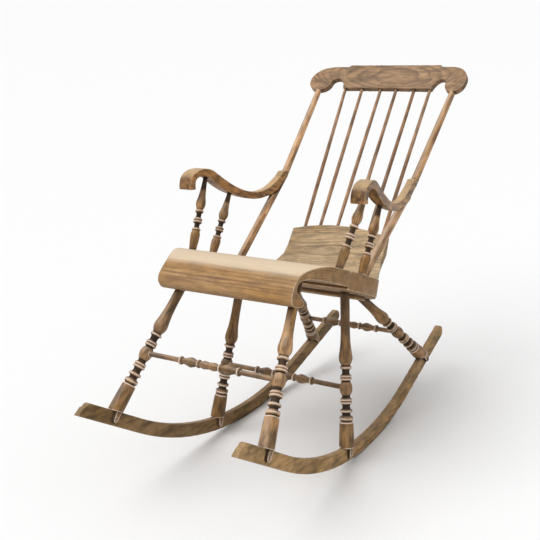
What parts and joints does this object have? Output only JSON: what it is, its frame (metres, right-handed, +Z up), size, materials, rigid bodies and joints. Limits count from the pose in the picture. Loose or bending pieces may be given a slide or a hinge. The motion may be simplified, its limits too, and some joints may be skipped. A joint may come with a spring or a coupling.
{
  "type": "rocking chair",
  "caption": "Low turned wooden rocking chair with a rolled plank seat, raked spindle back, shaped crest rail and scrolled arms.",
  "frame": {"origin": "on the floor under the middle of the whole chair's box", "axes": "+Z up, the sitter faces -Y, +X to the sitter's left"},
  "size_m": [0.6114, 1.3814, 0.9738],
  "materials": {
    "rocker_wood": "worn, waxed",
    "leg_wood": "worn, waxed",
    "seat_wood": "rubbed, bare pine",
    "back_wood": "worn, waxed",
    "crest_wood": "worn, matt",
    "arm_wood": "polished by use",
    "peg_wood": "dark, waxed"
  },
  "bodies": {
    "root": {"rocker_right": "rocker_wood", "rocker_left": "rocker_wood", "leg_front_right": "leg_wood", "leg_front_left": "leg_wood", "leg_middle_right": "leg_wood", "leg_middle_left": "leg_wood", "leg_rear_right": "leg_wood", "leg_rear_left": "leg_wood", "leg_pegs": "peg_wood", "stretcher_front": "leg_wood", "stretcher_middle": "leg_wood", "stretcher_rear": "leg_wood", "seat_front_board": "seat_wood", "seat_rear_board": "seat_wood", "seat_back_panel": "seat_wood", "seat_batten": "seat_wood", "stile_right": "back_wood", "stile_left": "back_wood", "back_spindle_1": "back_wood", "back_spindle_2": "back_wood", "back_spindle_3": "back_wood", "back_spindle_4": "back_wood", "back_spindle_5": "back_wood", "back_spindle_6": "back_wood", "crest_rail": "crest_wood", "crest_pegs": "peg_wood", "armrest_right": "arm_wood", "armrest_left": "arm_wood", "arm_pegs": "peg_wood", "arm_support_front_right": "leg_wood", "arm_support_front_left": "leg_wood", "arm_support_rear_right": "leg_wood", "arm_support_rear_left": "leg_wood"}
  },
  "joints": []
}
